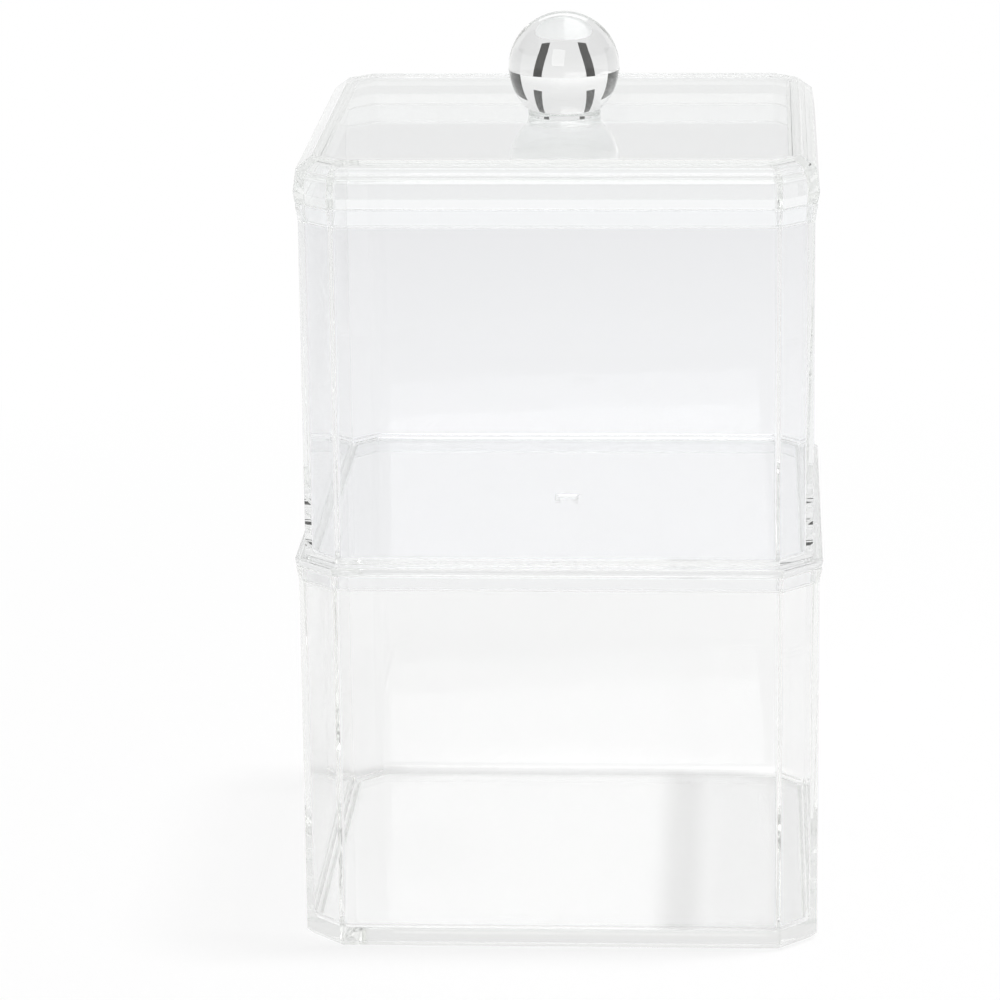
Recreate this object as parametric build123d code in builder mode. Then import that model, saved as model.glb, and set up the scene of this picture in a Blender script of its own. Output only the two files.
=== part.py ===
from build123d import *
from math import cos, radians, sin
import os

# A clear moulded plastic box in two tiers, square with its corners cut at 45 degrees.
# The lower box stands on the table. The upper box has a ledge round its base and a low ring under
# it that drops into the lower rim. The bevelled lid drops into the upper rim in the same way and
# carries a solid ball knob. Both upper pieces simply lift off.
# Millimetres, +Z up, origin at the centre of the footprint on the table.

# Widths across the flats, outside
lower_width = 95.8
upper_width = 93.4
ledge_width = 97.3
lid_width = 95.0
lid_shoulder_width = 93.8
lid_top_width = 88.0

# Corner cut of the upper box: each leg of the 45 degree triangle that is missing from the square
corner_cut = 6.1

# Walls and floors
wall = 1.9
wall_draft = 0.2           # the inside narrows by this much, each side, from rim to floor
lower_floor = 3.0
upper_floor = 2.0
lid_plate = 2.4
foot_bevel = 1.2
lower_floor_round = 2.0    # radius where the lower walls meet their floor, inside
upper_floor_round = 1.2    # the same in the upper box
round_flats = 5            # narrow flats that each of these radii is drawn with

# Rims: the outside flares, and a rebate inside takes the ring of the piece above
lip_flare = 0.5
rebate_depth = 0.9
lower_rim_height = 72.3
lower_lip = 2.9
upper_rim_height = 140.35
upper_lip = 3.45

# Rings and ledges of the pieces that sit on the rims
seat_air = 0.05            # film of air between a rim and what rests on it
ring_wall = 1.05
ring_side_gap = 0.25
ring_end_gap = 0.2
ledge_thickness = 1.75
ledge_underside = 0.35     # the ledge and the lid narrow by this much, each side, below their widest line

# Lid profile above its widest line
lid_edge_height = 2.0
lid_side_height = 4.3
lid_bevel_height = 2.2

# Gate mark left in the middle of the upper floor by the mould
gate_radius = 2.9
gate_depth = 0.3

# Knob: a ball on a short round foot
ball_radius = 10.4
foot_radius = 6.8
ball_centre_above_lid = 9.1

# Narrow flat along the outer edges
edge_break = 0.25

# Where the pieces lie
upper_base = lower_rim_height + seat_air
ledge_top = upper_base + ledge_thickness
upper_floor_top = upper_base + upper_floor
lid_base = upper_rim_height + seat_air
lid_widest = lid_base + lid_edge_height
lid_shoulder = lid_widest + lid_side_height
lid_top = lid_shoulder + lid_bevel_height


def cut_square(width):
    """Square outline with cut corners, parallel to the upper box's own outline."""
    grown = (width - upper_width) / 2
    chamfer(Rectangle(width, width).vertices(), corner_cut + (2 - 2**0.5) * grown)


def prism(sections, mode=Mode.ADD):
    """Cut-cornered block through (width, height) sections, with flat sides between them."""
    outlines = []
    for width, height in sections:
        with BuildSketch(Plane.XY.offset(height), mode=Mode.PRIVATE) as outline:
            cut_square(width)
        outlines.append(outline.sketch.face())
    loft(outlines, ruled=True, mode=mode)


def edges_above(shape, height):
    """Every edge whose middle lies above a height, so the rest stay sharp."""
    return shape.edges().filter_by(lambda edge: edge.center().Z > height + 0.01)


def rounded_floor(width, floor, radius):
    """Sections of a cavity from its flat floor up a quarter circle to its full width."""
    sections = []
    for step in range(round_flats + 1):
        angle = radians(90 * step / round_flats)
        sections.append((width - 2 * radius * (1 - sin(angle)), floor + radius * (1 - cos(angle))))
    return sections


# Lower box: thick floor with a bevelled foot, straight walls, flared rim with a rebate inside
lower_inside = lower_width - 2 * wall
lower_rebate = lower_inside + 2 * rebate_depth
lower_lip_height = lower_rim_height - lower_lip
with BuildPart() as lower_box:
    prism([
        (lower_width - 2 * foot_bevel, 0),
        (lower_width, foot_bevel),
        (lower_width, lower_lip_height),
        (lower_width + 2 * lip_flare, lower_rim_height),
    ])
    chamfer(lower_box.edges(), edge_break)
    prism([
        *rounded_floor(lower_inside - 2 * wall_draft, lower_floor, lower_floor_round),
        (lower_inside, lower_rim_height),
    ], mode=Mode.SUBTRACT)
    prism([
        (lower_rebate, lower_lip_height),
        (lower_rebate, lower_rim_height),
    ], mode=Mode.SUBTRACT)
lower_box.part.label = "lower_box"

# Upper box: ledge on the lower rim, ring inside it, walls and rim as below
upper_inside = upper_width - 2 * wall
upper_rebate = upper_inside + 2 * rebate_depth
upper_lip_height = upper_rim_height - upper_lip
deck_ring = lower_rebate - 2 * ring_side_gap
with BuildPart() as upper_box:
    prism([
        (ledge_width - 2 * ledge_underside, upper_base),
        (ledge_width, ledge_top),
    ])
    chamfer(edges_above(upper_box, upper_base), edge_break)
    prism([
        (upper_width, ledge_top),
        (upper_width, upper_lip_height),
        (upper_width + 2 * lip_flare, upper_rim_height),
    ])
    chamfer(edges_above(upper_box, ledge_top), edge_break)
    prism([
        (deck_ring, lower_lip_height + ring_end_gap),
        (deck_ring, upper_base),
    ])
    prism([
        (deck_ring - 2 * ring_wall, lower_lip_height + ring_end_gap),
        (deck_ring - 2 * ring_wall, upper_base),
    ], mode=Mode.SUBTRACT)
    prism([
        *rounded_floor(upper_inside - 2 * wall_draft, upper_floor_top, upper_floor_round),
        (upper_inside, upper_rim_height),
    ], mode=Mode.SUBTRACT)
    prism([
        (upper_rebate, upper_lip_height),
        (upper_rebate, upper_rim_height),
    ], mode=Mode.SUBTRACT)
    with BuildSketch(Plane.XY.offset(upper_floor_top)):
        Circle(gate_radius)
    extrude(amount=-gate_depth, taper=60, mode=Mode.SUBTRACT)
upper_box.part.label = "upper_box"

# Lid: bevelled cap, hollow underneath, with a ring that drops into the upper rim
lid_ring = upper_rebate - 2 * ring_side_gap
lid_ring_bottom = upper_lip_height + ring_end_gap
with BuildPart() as lid:
    prism([
        (lid_width - 2 * ledge_underside, lid_base),
        (lid_width, lid_widest),
        (lid_shoulder_width, lid_shoulder),
        (lid_top_width, lid_top),
    ])
    chamfer(edges_above(lid, lid_base), edge_break)
    prism([
        (lid_ring, lid_ring_bottom),
        (lid_ring, lid_base),
    ])
    prism([
        (lid_ring - 2 * ring_wall, lid_ring_bottom),
        (lid_ring - 2 * ring_wall - 2 * wall_draft, lid_top - lid_plate),
    ], mode=Mode.SUBTRACT)
lid.part.label = "lid"

# Knob: one turned outline, flat where it is bonded to the lid
ball_centre = lid_top + ball_centre_above_lid
foot_top = ball_centre - (ball_radius**2 - foot_radius**2) ** 0.5
with BuildPart() as knob:
    with BuildSketch(Plane.XZ):
        with BuildLine():
            Line((0, lid_top), (foot_radius, lid_top))
            Line((foot_radius, lid_top), (foot_radius, foot_top))
            ThreePointArc((foot_radius, foot_top), (ball_radius, ball_centre),
                          (0, ball_centre + ball_radius))
            Line((0, ball_centre + ball_radius), (0, lid_top))
        make_face()
    revolve(axis=Axis.Z)
knob.part.label = "knob"

os.makedirs("parts", exist_ok=True)
export_step(lower_box.part, "parts/lower_box.step")
export_step(upper_box.part, "parts/upper_box.step")
export_step(lid.part, "parts/lid.step")
export_step(knob.part, "parts/knob.step")
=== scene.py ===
import math

import bmesh
import bpy
from bpy.props import FloatProperty, FloatVectorProperty, PointerProperty
from mathutils import Matrix, Vector


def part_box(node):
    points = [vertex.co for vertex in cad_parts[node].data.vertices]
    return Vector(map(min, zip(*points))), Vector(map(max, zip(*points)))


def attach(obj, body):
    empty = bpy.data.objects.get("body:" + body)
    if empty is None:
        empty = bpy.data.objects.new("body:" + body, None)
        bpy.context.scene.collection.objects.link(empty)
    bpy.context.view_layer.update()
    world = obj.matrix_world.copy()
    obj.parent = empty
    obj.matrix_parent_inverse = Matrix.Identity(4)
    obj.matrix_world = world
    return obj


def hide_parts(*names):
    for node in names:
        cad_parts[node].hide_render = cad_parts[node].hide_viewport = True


bl_info = {
    "name": "Two-tier clear box",
    "version": (1, 0, 0),
    "blender": (4, 5, 0),
    "location": "3D View > Sidebar > Clear Box",
    "description": "Builds a clear two-tier box with a lift-off lid and a ball knob",
    "category": "Object",
}

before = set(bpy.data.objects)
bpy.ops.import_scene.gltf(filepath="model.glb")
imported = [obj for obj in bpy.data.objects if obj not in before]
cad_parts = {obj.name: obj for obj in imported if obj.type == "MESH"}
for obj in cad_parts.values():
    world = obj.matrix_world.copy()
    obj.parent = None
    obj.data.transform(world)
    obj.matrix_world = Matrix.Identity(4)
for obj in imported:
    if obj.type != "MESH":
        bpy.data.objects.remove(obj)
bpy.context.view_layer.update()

MM = 0.001
FRAME_PIXELS = 1000        # width and height of the picture that the camera was solved in
ARC_STEPS = 3              # flats in an edge radius
WIDE_ARC = 1.0 * MM        # a radius from here on is drawn with more flats
WIDE_ARC_STEPS = 9
KNOB_TURNS = 128           # flats round the knob
BALL_STEPS = 48            # rings up each half of the ball
CORNER_TURN = 45.0         # degrees between one side of an outline and the next
CUT_GROWTH = 2 - math.sqrt(2)   # how fast a corner cut grows on a parallel outline
SEAT_AIR = 0.05 * MM       # film of air between a rim and what rests on it
BOND_GAP = 0.03 * MM       # keeps the knob's foot out of the plane of the lid's top
END_MARGIN = 1.0 * MM      # a closing face starts this far, or a few times as far, in from the last arc
SOFT_EDGE = 1.6            # how much rounder the lines round the lid and the ledge are than other edges
FOOT_EDGE = 0.2 * MM       # flat round the underside of the knob's foot
SEAM_WIDTH = math.radians(0.9)   # how wide the knob's mould seam is, from the middle of the ball
# The mould mark, from its rim to its middle: share of its radius and share of its depth
GATE_PROFILE = ((1.15, 0.0), (1.0, 0.15), (0.8, 0.8), (0.5, 1.0), (0.2, 1.0))
GRAZING = 9.0              # how close to edge-on a face must be to hold light back, as a power


def length(name, description, default, **extra):
    return FloatProperty(name=name, description=description, default=default, unit="LENGTH",
                         subtype="DISTANCE", precision=5, min=0.0, **extra)


def colour(name, description, default):
    return FloatVectorProperty(name=name, description=description, default=default, size=3,
                               subtype="COLOR", min=0.0, max=1.0)


def factor(name, description, default, highest=1.0):
    return FloatProperty(name=name, description=description, default=default, min=0.0, max=highest)


def power(name, description, default):
    return FloatProperty(name=name, description=description + " in watts", default=default, min=0.0)


# Sizes and colours that a user would change

class LowerBoxSizes(bpy.types.PropertyGroup):
    width: length("Width", "Width across the flats of the lower walls", 95.8 * MM)
    floor: length("Floor", "Thickness of the floor", 3.0 * MM)
    floor_radius: length("Floor radius", "Radius where the walls meet the floor", 2.0 * MM)
    foot_bevel: length("Foot bevel", "Bevel round the underside", 1.2 * MM)
    lip: length("Lip", "Height of the flared rim", 2.9 * MM)


class UpperBoxSizes(bpy.types.PropertyGroup):
    width: length("Width", "Width across the flats of the upper walls", 93.4 * MM)
    floor: length("Floor", "Thickness of the floor", 2.0 * MM)
    floor_radius: length("Floor radius", "Radius where the walls meet the floor", 1.2 * MM)
    lip: length("Lip", "Height of the flared rim", 3.45 * MM)
    ledge_width: length("Ledge width", "Width across the flats of the ledge", 97.3 * MM)
    ledge: length("Ledge", "Thickness of the ledge", 1.75 * MM)
    gate_radius: length("Gate mark radius", "Radius of the mould mark in the floor", 2.9 * MM)
    gate_depth: length("Gate mark depth", "Depth of the mould mark in the floor", 0.3 * MM)


class LidSizes(bpy.types.PropertyGroup):
    width: length("Width", "Width across the flats at the widest line", 95.0 * MM)
    shoulder_width: length("Shoulder width", "Width where the bevel starts", 93.8 * MM)
    top_width: length("Top width", "Width of the flat top", 88.0 * MM)
    edge: length("Edge", "Height from the underside to the widest line", 2.0 * MM)
    side: length("Side", "Height of the side above the widest line", 4.3 * MM)
    plate: length("Plate", "Thickness of the top", 2.4 * MM)
    recess_radius: length("Recess radius", "Radius inside, where the sides meet the top", 2.5 * MM)


class SharedSizes(bpy.types.PropertyGroup):
    corner_cut: length("Corner cut", "Leg of each cut corner on the upper walls", 6.1 * MM)
    wall: length("Wall", "Thickness of the walls", 1.9 * MM)
    draft: length("Draft", "How much the inside narrows towards the floor, each side", 0.2 * MM)
    flare: length("Flare", "How much a rim flares, each side", 0.5 * MM)
    rebate: length("Rebate", "Depth of the step inside a rim", 0.9 * MM)
    ring_wall: length("Ring wall", "Thickness of the rings that drop into the rims", 1.05 * MM)
    ring_gap: length("Ring gap", "Air between a ring and the rim round it", 0.25 * MM)
    ring_end: length("Ring end gap", "Air under a ring", 0.2 * MM)
    underside: length("Underside", "How much a ledge narrows below its widest line", 0.35 * MM)
    edge_radius: length("Edge radius", "Radius of the outer edges", 0.25 * MM)
    inner_radius: length("Inner radius", "Radius of the upright inner edges", 0.7 * MM)


class KnobSizes(bpy.types.PropertyGroup):
    ball_radius: length("Ball radius", "Radius of the ball", 10.4 * MM)
    foot_radius: length("Foot radius", "Radius of the round foot", 6.8 * MM)
    centre_height: length("Centre height", "Height of the ball's centre above the lid", 9.1 * MM)
    seam_drop: length("Seam drop", "How far below the centre the plane lies where both halves meet",
                      0.3 * MM)
    film: length("Film", "Air between the two halves", 0.02 * MM)
    seam_height: length("Seam height", "How far the mould seam stands out", 0.03 * MM)


class PlasticLook(bpy.types.PropertyGroup):
    # One plastic, tinted a little differently for each piece: the upper box's bluish and the lid's
    # greenish tints are partly the plastic's own colour, partly painted reflection of the room; the
    # knob's tint is darker
    lower_colour: colour("Lower box", "Colour of the lower box", (0.975, 0.976, 0.975))
    upper_colour: colour("Upper box", "Colour of the upper box", (0.968, 0.971, 0.978))
    lid_colour: colour("Lid", "Colour of the lid", (0.965, 0.972, 0.968))
    knob_colour: colour("Knob", "Colour of the knob", (0.945, 0.950, 0.948))
    depth_colour: colour("Depth", "Colour that long paths inside the plastic take", (0.50, 0.56, 0.42))
    depth_density: factor("Depth density", "How fast that colour builds up, per metre", 0.6, 100.0)
    ior: FloatProperty(name="IOR", description="Refractive index of the plastic", default=1.52,
                       min=1.0, max=2.0)
    polish: factor("Polish", "Roughness of a clean surface", 0.0)
    smudge: factor("Smudge", "Extra roughness of handling marks", 0.05)
    shadow: factor("Shadow", "Share of light that each face lets through to the floor", 0.98)


class StageLook(bpy.types.PropertyGroup):
    floor_colour: colour("Floor", "Colour of the floor", (0.93, 0.93, 0.93))
    # The floor's brightness as plastic shows it is painted light and shade: a painted pool of light under
    # the box, painted shade beside it and far off, and a painted shadow band of the lid's rim
    painted_shade_far_off: factor("Far floor", "Brightness of the floor away from the box, as plastic shows it",
                      0.985)
    painted_shade_beside_box: factor("Near floor", "Brightness of the floor beside the box, as plastic shows it", 0.90)
    painted_light_under_box: factor("Under floor", "Brightness of the floor under the box, as plastic shows it",
                        1.12, 2.0)
    painted_rim_shadow: factor("Band", "Brightness of the rim's shadow under the box, as plastic shows it", 0.62)
    glow: factor("Glow", "Share of the floor that is plain white as plastic shows it", 0.45)
    direct_glow: factor("Direct glow", "The same share straight from the camera, near the box", 0.80)
    horizon: factor("Horizon", "Brightness of the room at eye level, as plastic shows it", 0.88)
    zenith: factor("Zenith", "Brightness of the room overhead, as plastic shows it", 0.84)
    fill: factor("Fill", "Brightness of the room on the floor", 0.30, 5.0)
    overhead_power: power("Overhead", "Power of the overhead softbox", 1.5)
    window_power: power("Window", "Power of the light in front", 3.0)
    key_power: power("Key", "Power of the small light on the right", 15.0)


# Meshes

def outline(half, cut, radius):
    """Points round a square with cut corners, with a small arc at each of its eight corners."""
    flat = half - cut
    corners = [(half, flat), (flat, half), (-flat, half), (-half, flat),
               (-half, -flat), (-flat, -half), (flat, -half), (half, -flat)]
    inset = radius / math.cos(math.radians(CORNER_TURN / 2))
    points = []
    for turn, (x, y) in enumerate(corners):
        middle = math.radians(CORNER_TURN * (turn + 0.5))
        centre = Vector((x - inset * math.cos(middle), y - inset * math.sin(middle)))
        for step in range(ARC_STEPS + 1):
            angle = math.radians(CORNER_TURN * (turn + step / ARC_STEPS))
            points.append(centre + radius * Vector((math.cos(angle), math.sin(angle))))
    return points


def circle(radius, start_like):
    """Points round a circle, one in the direction of each point of an outline."""
    return [point.normalized() * radius for point in start_like]


def soften(profile):
    """Turns (half width, height, radius, corner radius) points into a profile with small arcs."""
    rows = []
    for i, (half, height, radius, corner_radius) in enumerate(profile):
        here = Vector((half, height))
        if radius == 0 or i in (0, len(profile) - 1):
            rows.append((here, corner_radius))
            continue
        back = (Vector(profile[i - 1][:2]) - here).normalized()
        ahead = (Vector(profile[i + 1][:2]) - here).normalized()
        opening = back.angle(ahead)
        reach = radius / math.tan(opening / 2)
        centre = here + (back + ahead).normalized() * radius / math.sin(opening / 2)
        first, last = here + back * reach - centre, here + ahead * reach - centre
        turn = first.angle_signed(last)
        steps = ARC_STEPS if radius < WIDE_ARC else WIDE_ARC_STEPS
        for step in range(steps + 1):
            spoke = first.copy()
            spoke.rotate(Matrix.Rotation(-turn * step / steps, 2))
            rows.append((centre + spoke, corner_radius))
    return rows


def closed_mesh(name, *stacks):
    """Joins each stack of rings, every ring at its height, into a closed shell with flat ends.

    Where a piece is made of more than one shell, the edges of those ends stay sharp.
    """
    shell = bmesh.new()
    for rings in stacks:
        rows = [[shell.verts.new((p.x, p.y, height)) for p in points] for points, height in rings]
        for low, high in zip(rows, rows[1:]):
            for i in range(len(low)):
                j = (i + 1) % len(low)
                shell.faces.new((low[i], low[j], high[j], high[i]))
        for end in (shell.faces.new(list(reversed(rows[0]))), shell.faces.new(rows[-1])):
            for edge in end.edges:
                edge.smooth = len(stacks) == 1
    bmesh.ops.recalc_face_normals(shell, faces=shell.faces[:])
    mesh = bpy.data.meshes.new(name)
    shell.to_mesh(mesh)
    shell.free()
    mesh.shade_smooth()
    piece = bpy.data.objects.new(name, mesh)
    bpy.context.scene.collection.objects.link(piece)
    flats = piece.modifiers.new("Flat faces stay flat", "WEIGHTED_NORMAL")
    flats.weight = 100
    flats.keep_sharp = True
    return piece


def cut_square_piece(name, profile, shared, upper_width, dimple=()):
    """A moulding whose every level is a square with cut corners, all parallel to each other."""
    rings = []
    for point, corner_radius in soften(profile):
        cut = shared.corner_cut + CUT_GROWTH * (point.x - upper_width / 2)
        rings.append((outline(point.x, cut, corner_radius), point.y))
    for radius, height in dimple:
        rings.append((circle(radius, rings[-1][0]), height))
    return closed_mesh(name, rings)


# Shader groups, each built once

def new_group(name, inputs, outputs):
    group = bpy.data.node_groups.new(name, "ShaderNodeTree")
    for socket, kind, default in inputs:
        made = group.interface.new_socket(socket, in_out="INPUT", socket_type=kind)
        made.default_value = default
    for socket, kind in outputs:
        group.interface.new_socket(socket, in_out="OUTPUT", socket_type=kind)
    return group


def add(tree, kind, links=(), **values):
    """Adds a node, sets its properties, and links or sets its inputs by name or number."""
    node = tree.nodes.new(kind)
    for name, value in values.items():
        setattr(node, name, value)
    for socket, source in links:
        if isinstance(source, bpy.types.NodeSocket):
            tree.links.new(source, node.inputs[socket])
        else:
            node.inputs[socket].default_value = source
    return node


def handling_marks():
    """Faint smudges and hairline scratches, as a roughness."""
    name = "Handling marks"
    if name in bpy.data.node_groups:
        return bpy.data.node_groups[name]
    group = new_group(name, [("Polish", "NodeSocketFloat", 0.01), ("Smudge", "NodeSocketFloat", 0.05)],
                      [("Roughness", "NodeSocketFloat")])
    inlet = add(group, "NodeGroupInput")
    place = add(group, "ShaderNodeTexCoord")
    cloud = add(group, "ShaderNodeTexNoise", [("Vector", place.outputs["Object"]), ("Scale", 22.0),
                                              ("Detail", 4.0), ("Roughness", 0.6)])
    patches = add(group, "ShaderNodeMapRange", [("Value", cloud.outputs["Fac"]), ("From Min", 0.52),
                                                ("From Max", 0.78)])
    long_way = add(group, "ShaderNodeMapping", [("Vector", place.outputs["Object"]),
                                                ("Rotation", (0.5, 0.3, 0.9)),
                                                ("Scale", (60.0, 1400.0, 220.0))])
    hairs = add(group, "ShaderNodeTexNoise", [("Vector", long_way.outputs["Vector"]), ("Scale", 1.0),
                                              ("Detail", 2.0)])
    lines = add(group, "ShaderNodeMapRange", [("Value", hairs.outputs["Fac"]), ("From Min", 0.70),
                                              ("From Max", 0.78), ("To Max", 0.5)])
    marks = add(group, "ShaderNodeMath", [(0, patches.outputs["Result"]), (1, lines.outputs["Result"])],
                operation="MAXIMUM")
    extra = add(group, "ShaderNodeMath", [(0, marks.outputs["Value"]), (1, inlet.outputs["Smudge"]),
                                          (2, inlet.outputs["Polish"])], operation="MULTIPLY_ADD")
    add(group, "NodeGroupOutput", [("Roughness", extra.outputs["Value"])])
    return group


def moulding_ripple():
    """The slow waves that a mould leaves in a flat clear wall, as a bump height."""
    name = "Moulding ripple"
    if name in bpy.data.node_groups:
        return bpy.data.node_groups[name]
    group = new_group(name, [("Waves per metre", "NodeSocketFloat", 30.0)],
                      [("Height", "NodeSocketFloat")])
    inlet = add(group, "NodeGroupInput")
    place = add(group, "ShaderNodeTexCoord")
    waves = add(group, "ShaderNodeTexNoise", [("Vector", place.outputs["Object"]),
                                              ("Scale", inlet.outputs["Waves per metre"]),
                                              ("Detail", 1.0), ("Roughness", 0.4)])
    add(group, "NodeGroupOutput", [("Height", waves.outputs["Fac"])])
    return group


def clear_plastic(name, tint, look, waves_per_metre, wave_height):
    """Polished clear plastic: tinted in depth, faintly rippled and smudged, with a light shadow."""
    material = bpy.data.materials.new(name)
    material.use_nodes = True
    tree = material.node_tree
    tree.nodes.clear()
    marks = add(tree, "ShaderNodeGroup", node_tree=handling_marks())
    marks.inputs["Polish"].default_value = look.polish
    marks.inputs["Smudge"].default_value = look.smudge
    ripple = add(tree, "ShaderNodeGroup", node_tree=moulding_ripple())
    ripple.inputs["Waves per metre"].default_value = waves_per_metre
    bump = add(tree, "ShaderNodeBump", [("Height", ripple.outputs["Height"]), ("Strength", 1.0),
                                        ("Distance", wave_height)])
    plastic = add(tree, "ShaderNodeBsdfPrincipled", [
        ("Base Color", (*tint, 1.0)), ("Metallic", 0.0), ("Roughness", marks.outputs["Roughness"]),
        ("IOR", look.ior), ("Transmission Weight", 1.0), ("Normal", bump.outputs["Normal"])])
    paths = add(tree, "ShaderNodeLightPath")
    slant = add(tree, "ShaderNodeLayerWeight", [("Blend", 0.5)])
    grazing = add(tree, "ShaderNodeMath", [(0, slant.outputs["Facing"]), (1, GRAZING)], operation="POWER")
    through = add(tree, "ShaderNodeMath", [(0, grazing.outputs["Value"]), (1, -look.shadow),
                                           (2, look.shadow)], operation="MULTIPLY_ADD")
    veil = add(tree, "ShaderNodeBsdfTransparent", [("Color", through.outputs["Value"])])
    surface = add(tree, "ShaderNodeMixShader", [("Fac", paths.outputs["Is Shadow Ray"]),
                                                (1, plastic.outputs["BSDF"]), (2, veil.outputs["BSDF"])])
    depth = add(tree, "ShaderNodeVolumeAbsorption", [("Color", (*look.depth_colour, 1.0)),
                                                     ("Density", look.depth_density)])
    add(tree, "ShaderNodeOutputMaterial", [("Surface", surface.outputs["Shader"]),
                                           ("Volume", depth.outputs["Volume"])])
    return material


def finish_piece(piece, node, body, material):
    """Gives a piece its material and its body, and hides the imported solid that it stands for."""
    piece.data.materials.append(material)
    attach(piece, body)
    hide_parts(node)


def levels(scene):
    """The heights that the pieces share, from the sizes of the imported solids."""
    lower_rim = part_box("lower_box")[1].z
    upper_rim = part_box("upper_box")[1].z
    lid_low, lid_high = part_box("lid")
    ring_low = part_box("upper_box")[0].z
    upper_base = lower_rim + SEAT_AIR
    return {
        "lower_rim": lower_rim,
        "lower_step": lower_rim - scene.lower_box.lip,
        "upper_ring": ring_low,
        "upper_base": upper_base,
        "ledge_top": upper_base + scene.upper_box.ledge,
        "upper_floor": upper_base + scene.upper_box.floor,
        "upper_step": upper_rim - scene.upper_box.lip,
        "upper_rim": upper_rim,
        "lid_ring": lid_low.z,
        "lid_base": upper_rim + SEAT_AIR,
        "lid_top": lid_high.z,
    }


# Operators, one for each piece and one for the stage

class CLEARBOX_OT_lower_box(bpy.types.Operator):
    """Build the lower box with its thick floor and flared rim"""
    bl_idname = "clearbox.lower_box"
    bl_label = "Lower box"

    def execute(self, context):
        scene = context.scene.clear_box
        sizes, shared, at = scene.lower_box, scene.shared, levels(scene)
        half = sizes.width / 2
        inside = half - shared.wall
        rebate = inside + shared.rebate
        edge, inner = shared.edge_radius, shared.inner_radius
        profile = [
            (half - sizes.foot_bevel - END_MARGIN, 0.0, 0, edge),
            (half - sizes.foot_bevel, 0.0, edge, edge),
            (half, sizes.foot_bevel, edge, edge),
            (half, at["lower_step"], edge, edge),
            (half + shared.flare, at["lower_rim"], edge, edge),
            (rebate, at["lower_rim"], edge, inner),
            (rebate, at["lower_step"], edge / 2, inner),
            (inside, at["lower_step"], edge, inner),
            (inside - shared.draft, sizes.floor, sizes.floor_radius, inner),
            (inside - shared.draft - 4 * END_MARGIN, sizes.floor, 0, inner),
        ]
        piece = cut_square_piece("lower_box_moulding", profile, shared, scene.upper_box.width)
        material = clear_plastic("Clear plastic, lower box", scene.plastic.lower_colour, scene.plastic,
                                 waves_per_metre=24.0, wave_height=0.02 * MM)
        finish_piece(piece, "lower_box", "lower_tier", material)
        return {"FINISHED"}


class CLEARBOX_OT_upper_box(bpy.types.Operator):
    """Build the upper box with its ledge, its ring and the mould mark in its floor"""
    bl_idname = "clearbox.upper_box"
    bl_label = "Upper box"

    def execute(self, context):
        scene = context.scene.clear_box
        sizes, shared, at = scene.upper_box, scene.shared, levels(scene)
        half = sizes.width / 2
        inside = half - shared.wall
        rebate = inside + shared.rebate
        lower_rebate = scene.lower_box.width / 2 - shared.wall + shared.rebate
        ring = lower_rebate - shared.ring_gap
        ring_inside = ring - shared.ring_wall
        ledge = sizes.ledge_width / 2
        edge, inner = shared.edge_radius, shared.inner_radius
        profile = [
            (ring_inside - 2 * END_MARGIN, at["upper_base"], 0, inner),
            (ring_inside, at["upper_base"], edge, inner),
            (ring_inside, at["upper_ring"], edge, inner),
            (ring, at["upper_ring"], edge, inner),
            (ring, at["upper_base"], edge / 2, inner),
            (ledge - shared.underside, at["upper_base"], edge, edge),
            (ledge, at["ledge_top"], edge * SOFT_EDGE, edge),
            (half, at["ledge_top"], edge, edge),
            (half, at["upper_step"], edge, edge),
            (half + shared.flare, at["upper_rim"], edge, edge),
            (rebate, at["upper_rim"], edge, inner),
            (rebate, at["upper_step"], edge / 2, inner),
            (inside, at["upper_step"], edge, inner),
            (inside - shared.draft, at["upper_floor"], sizes.floor_radius, inner),
            (inside - shared.draft - 4 * END_MARGIN, at["upper_floor"], 0, inner),
        ]
        dimple = [(sizes.gate_radius * out, at["upper_floor"] - sizes.gate_depth * down)
                  for out, down in GATE_PROFILE]
        piece = cut_square_piece("upper_box_moulding", profile, shared, sizes.width, dimple)
        material = clear_plastic("Clear plastic, upper box", scene.plastic.upper_colour, scene.plastic,
                                 waves_per_metre=24.0, wave_height=0.02 * MM)
        finish_piece(piece, "upper_box", "upper_tier", material)
        return {"FINISHED"}


class CLEARBOX_OT_lid(bpy.types.Operator):
    """Build the bevelled lid, hollow underneath, with the ring that drops into the rim"""
    bl_idname = "clearbox.lid"
    bl_label = "Lid"

    def execute(self, context):
        scene = context.scene.clear_box
        sizes, shared, at = scene.lid, scene.shared, levels(scene)
        ring = scene.upper_box.width / 2 - shared.wall + shared.rebate - shared.ring_gap
        ring_inside = ring - shared.ring_wall
        recess = at["lid_top"] - sizes.plate
        widest = at["lid_base"] + sizes.edge
        half = sizes.width / 2
        edge, inner = shared.edge_radius, shared.inner_radius
        profile = [
            (ring_inside - shared.draft - 4 * END_MARGIN, recess, 0, inner),
            (ring_inside - shared.draft, recess, sizes.recess_radius, inner),
            (ring_inside, at["lid_ring"], edge, inner),
            (ring, at["lid_ring"], edge, inner),
            (ring, at["lid_base"], edge / 2, inner),
            (half - shared.underside, at["lid_base"], edge, edge),
            (half, widest, edge * SOFT_EDGE, edge),
            (sizes.shoulder_width / 2, widest + sizes.side, edge * SOFT_EDGE, edge),
            (sizes.top_width / 2, at["lid_top"], edge, edge),
            (sizes.top_width / 2 - 2 * END_MARGIN, at["lid_top"], 0, edge),
        ]
        piece = cut_square_piece("lid_moulding", profile, shared, scene.upper_box.width)
        material = clear_plastic("Clear plastic, lid", scene.plastic.lid_colour, scene.plastic,
                                 waves_per_metre=20.0, wave_height=0.03 * MM)
        finish_piece(piece, "lid", "lid_unit", material)
        return {"FINISHED"}


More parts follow.
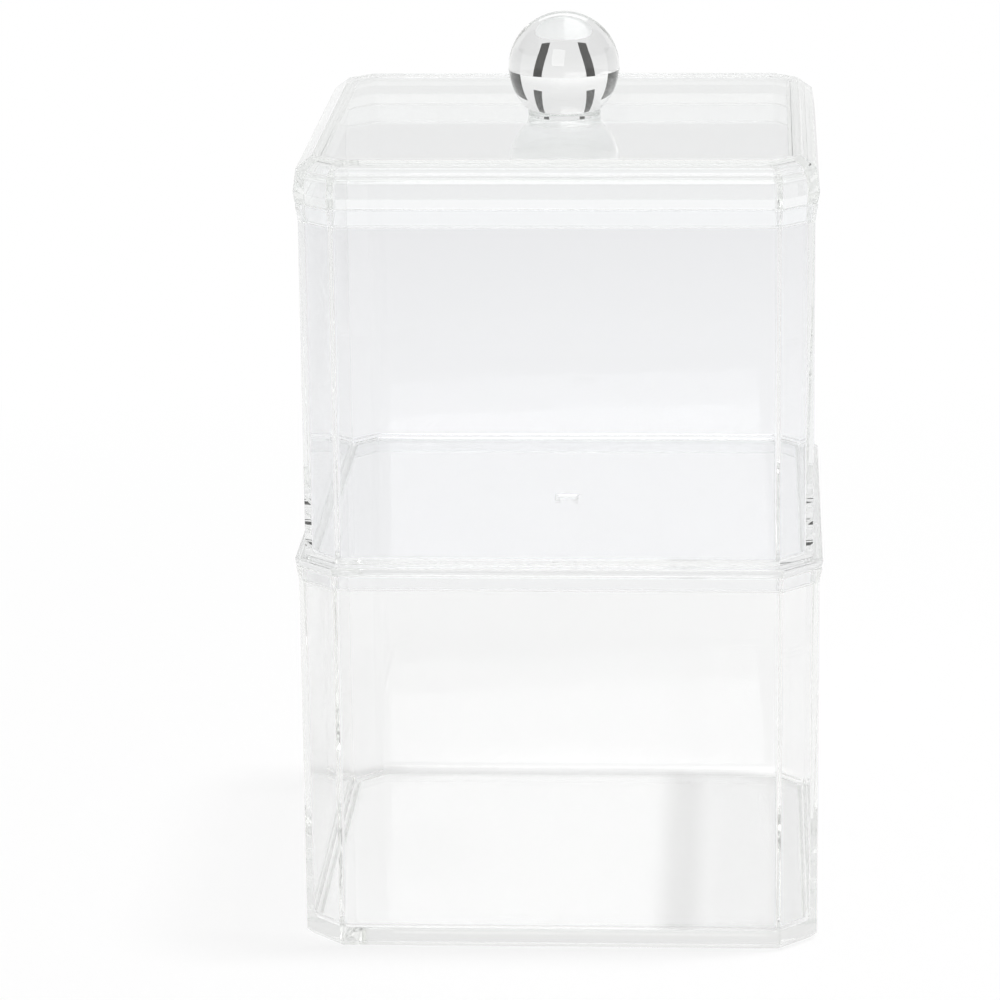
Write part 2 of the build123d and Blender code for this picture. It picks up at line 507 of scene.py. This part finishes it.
class CLEARBOX_OT_knob(bpy.types.Operator):
    """Build the ball knob in two halves, with its round foot and its mould seam"""
    bl_idname = "clearbox.knob"
    bl_label = "Knob"

    def execute(self, context):
        scene = context.scene.clear_box
        sizes, at = scene.knob, levels(scene)
        centre = at["lid_top"] + sizes.centre_height
        base = at["lid_top"] + BOND_GAP
        lowest = -math.acos(sizes.foot_radius / sizes.ball_radius)
        seam = -math.asin(sizes.seam_drop / sizes.ball_radius)
        film = math.asin(sizes.film / 2 / sizes.ball_radius)
        foot = [(sizes.foot_radius - FOOT_EDGE, base), (sizes.foot_radius, base + FOOT_EDGE)]
        halves = []
        # The lower half ends on the parting plane, and the upper half one ring short of the pole
        for profile, start, end, steps in ((foot, lowest, seam - film, BALL_STEPS - 1),
                                           ([], seam + film, math.pi / 2, BALL_STEPS)):
            for step in range(BALL_STEPS):
                angle = start + (end - start) * step / steps
                near_seam = math.exp(-(((angle - seam) / SEAM_WIDTH) ** 2))
                radius = sizes.ball_radius + sizes.seam_height * near_seam
                profile.append((radius * math.cos(angle), centre + radius * math.sin(angle)))
            halves.append(profile)
        spokes = [Vector((math.cos(a), math.sin(a))) for a in
                  (math.tau * i / KNOB_TURNS for i in range(KNOB_TURNS))]
        piece = closed_mesh("ball_knob", *([([spoke * radius for spoke in spokes], height)
                                            for radius, height in profile] for profile in halves))
        material = clear_plastic("Clear plastic, knob", scene.plastic.knob_colour, scene.plastic,
                                 waves_per_metre=60.0, wave_height=0.004 * MM)
        finish_piece(piece, "knob", "lid_unit", material)
        return {"FINISHED"}


class CLEARBOX_OT_stage(bpy.types.Operator):
    """Set up the floor, the room light, the lamps, the cards and the camera"""
    bl_idname = "clearbox.stage"
    bl_label = "Stage"

    def execute(self, context):
        scene = context.scene.clear_box
        make_floor(scene.stage)
        make_world(scene.stage)
        make_lamps(scene.stage)
        make_cards()
        make_camera()
        context.scene.view_settings.view_transform = "Standard"
        context.scene.cycles.max_bounces = BOUNCES
        context.scene.cycles.transmission_bounces = BOUNCES
        context.scene.cycles.glossy_bounces = BOUNCES
        context.scene.cycles.transparent_max_bounces = CLEAR_BOUNCES
        return {"FINISHED"}


# Stage

BOUNCES = 96               # enough for light to leave every wall of both boxes
CLEAR_BOUNCES = 32
FLOOR_RADIUS = 0.9
FLOOR_SIDES = 96
FLOOR_DROP = 0.05 * MM     # keeps the floor out of the plane of the box's underside
# Where each painted part of the floor's light and shade starts and ends, as a distance from the middle of
# the box: painted light under the box, painted shade beside it and far off, the ends of the painted
# shadow band of the lid's rim, and where the floor seen straight from the camera turns plain white
UNDER_BOX = (0.050, 0.075)
BESIDE_BOX = (0.13, 0.22)
FAR_OFF = (0.30, 0.60)
DIRECT_WHITE = (0.12, 0.40)
# The painted shadow band of the lid's right rim on the floor under the box: where it ends, where it lies
# across the floor, and how soft its sides are
BAND_ENDS = (0.048, 0.056)
BAND_PLACE = 0.0220        # where the lid's right rim, lit from the right, shades the floor
BAND_SIDES = (0.0015, 0.0055)
# Where the room's brightness changes, as the height of a direction of length 1
ROOM_LOW = (-0.01, 0.10)
ROOM_HIGH = (0.16, 0.30)
CAMERA_PLACE = (35.9 * MM, -855.2 * MM, 308.8 * MM)
CAMERA_YAW = math.radians(-3.27)
CAMERA_PITCH = math.radians(15.35)
CAMERA_ROLL = math.radians(-0.66)
FOCAL_PIXELS = 4614.7
SENSOR = 36.0


def looked_at(tree):
    """Light path node, and 1 for rays that look straight, by gloss or through plastic."""
    paths = add(tree, "ShaderNodeLightPath")
    gloss = add(tree, "ShaderNodeMath", [(0, paths.outputs["Is Camera Ray"]),
                                         (1, paths.outputs["Is Glossy Ray"])], operation="MAXIMUM")
    every = add(tree, "ShaderNodeMath", [(0, gloss.outputs["Value"]),
                                         (1, paths.outputs["Is Transmission Ray"])], operation="MAXIMUM")
    return paths, every.outputs["Value"]


def ramp(tree, value, start, end, low, high):
    """A value that runs evenly from low to high between start and end."""
    made = add(tree, "ShaderNodeMapRange", [("Value", value), ("From Min", start), ("From Max", end),
                                            ("To Min", low), ("To Max", high)])
    return made.outputs["Result"]


def choose(tree, switch, when_off, when_on):
    """One of two values."""
    return add(tree, "ShaderNodeMix", [("Factor", switch), (2, when_off), (3, when_on)]).outputs[0]


def make_floor(look):
    mesh = bpy.data.meshes.new("Floor")
    rim = []
    for i in range(FLOOR_SIDES):
        angle = math.tau * i / FLOOR_SIDES
        rim.append((FLOOR_RADIUS * math.cos(angle), FLOOR_RADIUS * math.sin(angle), 0))
    mesh.from_pydata(rim, [], [tuple(range(FLOOR_SIDES))])
    floor = bpy.data.objects.new("Floor", mesh)
    floor.location.z = -FLOOR_DROP
    bpy.context.scene.collection.objects.link(floor)
    material = bpy.data.materials.new("Pale floor")
    material.use_nodes = True
    tree = material.node_tree
    tree.nodes.clear()
    paths, looked = looked_at(tree)
    place = add(tree, "ShaderNodeTexCoord")
    distance = add(tree, "ShaderNodeVectorMath", [(0, place.outputs["Object"])], operation="LENGTH")
    away = distance.outputs["Value"]
    direct = paths.outputs["Is Camera Ray"]
    across = add(tree, "ShaderNodeSeparateXYZ", [("Vector", place.outputs["Object"])])
    # Painted shadow band: the floor is darker along a line under the lid's right rim
    off_band = add(tree, "ShaderNodeMath", [(0, across.outputs["X"]), (1, BAND_PLACE)],
                   operation="SUBTRACT")
    band_side = add(tree, "ShaderNodeMath", [(0, off_band.outputs["Value"])], operation="ABSOLUTE")
    # Painted light and shade on the floor as plastic shows it: lighter under the box, darker beside it
    # and far off, with the painted shadow band of the lid's rim
    painted_floor_shading = ramp(tree, away, *FAR_OFF, 1.0, look.painted_shade_far_off)
    depth = ramp(tree, away, *BAND_ENDS, look.painted_rim_shadow, 1.0)
    for shade in (ramp(tree, away, *UNDER_BOX, look.painted_light_under_box / look.painted_shade_beside_box, 1.0),
                  ramp(tree, away, *BESIDE_BOX, look.painted_shade_beside_box, 1.0),
                  ramp(tree, band_side.outputs["Value"], *BAND_SIDES, depth, 1.0)):
        painted_floor_shading = add(tree, "ShaderNodeMath", [(0, painted_floor_shading), (1, shade)],
                   operation="MULTIPLY").outputs["Value"]
    strength = choose(tree, direct, painted_floor_shading, 1.0)
    share = choose(tree, direct, look.glow, ramp(tree, away, *DIRECT_WHITE, look.direct_glow, 1.0))
    plain = add(tree, "ShaderNodeMath", [(0, looked), (1, share)], operation="MULTIPLY")
    lit = add(tree, "ShaderNodeBsdfDiffuse", [("Color", (*look.floor_colour, 1.0))])
    white = add(tree, "ShaderNodeEmission", [("Color", (1.0, 1.0, 1.0, 1.0)), ("Strength", strength)])
    mix = add(tree, "ShaderNodeMixShader", [("Fac", plain.outputs["Value"]), (1, lit.outputs["BSDF"]),
                                            (2, white.outputs["Emission"])])
    add(tree, "ShaderNodeOutputMaterial", [("Surface", mix.outputs["Shader"])])
    mesh.materials.append(material)


def make_world(look):
    world = bpy.data.worlds.new("Soft room")
    bpy.context.scene.world = world
    world.use_nodes = True
    tree = world.node_tree
    tree.nodes.clear()
    paths, looked = looked_at(tree)
    direction = add(tree, "ShaderNodeTexCoord")
    height = add(tree, "ShaderNodeSeparateXYZ", [("Vector", direction.outputs["Generated"])])
    middle = ramp(tree, height.outputs["Z"], *ROOM_LOW, 1.0, look.horizon)
    high = ramp(tree, height.outputs["Z"], *ROOM_HIGH, 1.0, look.zenith / look.horizon)
    room = add(tree, "ShaderNodeMath", [(0, middle), (1, high)], operation="MULTIPLY").outputs["Value"]
    soft = choose(tree, looked, look.fill, room)
    strength = choose(tree, paths.outputs["Is Camera Ray"], soft, 1.0)
    light = add(tree, "ShaderNodeBackground", [("Color", (1.0, 1.0, 1.0, 1.0)), ("Strength", strength)])
    add(tree, "ShaderNodeOutputWorld", [("Surface", light.outputs["Background"])])


def area_lamp(name, place, target, size, watts):
    lamp = bpy.data.lights.new(name, "AREA")
    lamp.shape = "RECTANGLE"
    lamp.size, lamp.size_y = size
    lamp.energy = watts
    stand = bpy.data.objects.new(name, lamp)
    stand.location = place
    stand.rotation_euler = (Vector(target) - Vector(place)).to_track_quat("-Z", "Y").to_euler()
    bpy.context.scene.collection.objects.link(stand)
    return stand


def make_lamps(look):
    area_lamp("Overhead softbox", place=(0.0, 0.0, 1.4), target=(0, 0, 0), size=(1.2, 1.2),
              watts=look.overhead_power)
    window = area_lamp("Window light", place=(-0.20, -1.05, 0.72), target=(0, 0, 0.15),
                       size=(0.55, 0.75), watts=look.window_power)
    window.visible_diffuse = False
    key = area_lamp("Key light", place=(0.245, 0.0, 1.45), target=(0, 0, 0), size=(0.14, 0.14),
                    watts=look.key_power)
    key.visible_glossy = False
    key.visible_transmission = False


CARDS_FACE = -2.4          # degrees from the box's back to straight behind it, as the camera sees it
CARDS_AWAY = 0.30
KNOB_CENTRE = 0.158
# Colour of the cards, which show only as painted dark reflections and refractions in the knob
CARD_COLOUR = (0.02, 0.02, 0.016)
ONE_SOLID = 2.0            # surfaces that light crosses on its way through one solid
HALF_STEP = 0.5            # tells one whole count from the next
# Each card: its name; in degrees from straight behind the knob, the turn of its foot and of its head,
# then its half width, and the lowest and highest elevation from the middle of the knob; and how black
# it is seen straight through one solid, and with a mirroring on the way
CARDS = (
    ("Straight card", 21.0, 28.0, 4.0, 9.0, 40.0, 0.9, 0.0),
    ("Mirrored card", 20.5, 14.8, 3.8, 1.5, 26.5, 0.0, 0.95),
    ("Outer card", 57.0, 57.0, 17.0, -7.0, 25.0, 0.95, 0.1),
)


def card_material(name, straight, mirrored):
    """Black to light that has come through one solid, straight or with a mirroring, else clear."""
    material = bpy.data.materials.new(name)
    material.use_nodes = True
    tree = material.node_tree
    tree.nodes.clear()
    paths = add(tree, "ShaderNodeLightPath")
    face = add(tree, "ShaderNodeNewGeometry")
    crossed = add(tree, "ShaderNodeMath", [(0, paths.outputs["Transmission Depth"]), (1, ONE_SOLID),
                                           (2, HALF_STEP)], operation="COMPARE")
    bounced = add(tree, "ShaderNodeMath", [(0, paths.outputs["Glossy Depth"]), (1, HALF_STEP)],
                  operation="GREATER_THAN")
    share = choose(tree, bounced.outputs["Value"], straight, mirrored)
    seen = add(tree, "ShaderNodeMath", [(0, crossed.outputs["Value"]), (1, share)], operation="MULTIPLY")
    front = choose(tree, face.outputs["Backfacing"], seen.outputs["Value"], 0.0)
    clear = add(tree, "ShaderNodeBsdfTransparent")
    black = add(tree, "ShaderNodeBsdfDiffuse", [("Color", (*CARD_COLOUR, 1.0))])
    mix = add(tree, "ShaderNodeMixShader", [("Fac", front), (1, clear.outputs["BSDF"]),
                                            (2, black.outputs["BSDF"])])
    add(tree, "ShaderNodeOutputMaterial", [("Surface", mix.outputs["Shader"])])
    return material


def make_card(material, foot, head, half, low, high):
    """One upright card that only clear plastic shows."""
    corners = []
    for turn, elevation in ((foot - half, low), (foot + half, low),
                            (head + half, high), (head - half, high)):
        angle = math.radians(turn + CARDS_FACE)
        corners.append((CARDS_AWAY * math.sin(angle), CARDS_AWAY * math.cos(angle),
                        KNOB_CENTRE + CARDS_AWAY * math.tan(math.radians(elevation))))
    mesh = bpy.data.meshes.new("Card")
    mesh.from_pydata(corners, [], [(0, 1, 2, 3)])
    mesh.materials.append(material)
    card = bpy.data.objects.new("Card", mesh)
    bpy.context.scene.collection.objects.link(card)
    card.visible_camera = False
    card.visible_diffuse = False
    card.visible_glossy = False
    card.visible_shadow = False


def make_cards():
    """Black cards round the box, before and behind it, seen only through the plastic, that paint the
    knob's dark lines as painted dark reflections and refractions.
    """
    for name, foot, head, half, low, high, straight, mirrored in CARDS:
        material = card_material(name, straight, mirrored)
        for side in (1, -1):
            make_card(material, side * foot, side * head, half, low, high)
            make_card(material, 180 - side * foot, 180 - side * head, half, low, high)


def make_camera():
    data = bpy.data.cameras.new("Camera")
    data.sensor_width = SENSOR
    data.lens = FOCAL_PIXELS * SENSOR / FRAME_PIXELS
    data.clip_start, data.clip_end = 0.01, 100.0
    camera = bpy.data.objects.new("Camera", data)
    turn = (Matrix.Rotation(-CAMERA_YAW, 4, "Z") @ Matrix.Rotation(math.pi / 2 - CAMERA_PITCH, 4, "X")
            @ Matrix.Rotation(CAMERA_ROLL, 4, "Z"))
    camera.matrix_world = Matrix.Translation(CAMERA_PLACE) @ turn
    bpy.context.scene.collection.objects.link(camera)
    bpy.context.scene.camera = camera


class ClearBoxSettings(bpy.types.PropertyGroup):
    shared: PointerProperty(type=SharedSizes)
    lower_box: PointerProperty(type=LowerBoxSizes)
    upper_box: PointerProperty(type=UpperBoxSizes)
    lid: PointerProperty(type=LidSizes)
    knob: PointerProperty(type=KnobSizes)
    plastic: PointerProperty(type=PlasticLook)
    stage: PointerProperty(type=StageLook)


OPERATORS = (CLEARBOX_OT_stage, CLEARBOX_OT_lower_box, CLEARBOX_OT_upper_box, CLEARBOX_OT_lid,
             CLEARBOX_OT_knob)


class CLEARBOX_PT_panel(bpy.types.Panel):
    bl_idname = "CLEARBOX_PT_panel"
    bl_label = "Clear Box"
    bl_space_type = "VIEW_3D"
    bl_region_type = "UI"
    bl_category = "Clear Box"

    def draw(self, context):
        for operator in OPERATORS:
            self.layout.operator(operator.bl_idname)


CLASSES = (SharedSizes, LowerBoxSizes, UpperBoxSizes, LidSizes, KnobSizes, PlasticLook, StageLook,
           ClearBoxSettings, *OPERATORS, CLEARBOX_PT_panel)


def register():
    for cls in CLASSES:
        bpy.utils.register_class(cls)
    bpy.types.Scene.clear_box = PointerProperty(type=ClearBoxSettings)


def unregister():
    del bpy.types.Scene.clear_box
    for cls in reversed(CLASSES):
        bpy.utils.unregister_class(cls)


def main():
    register()
    bpy.ops.clearbox.stage()
    bpy.ops.clearbox.lower_box()
    bpy.ops.clearbox.upper_box()
    bpy.ops.clearbox.lid()
    bpy.ops.clearbox.knob()
    bpy.context.view_layer.update()


if __name__ == "__main__":
    main()
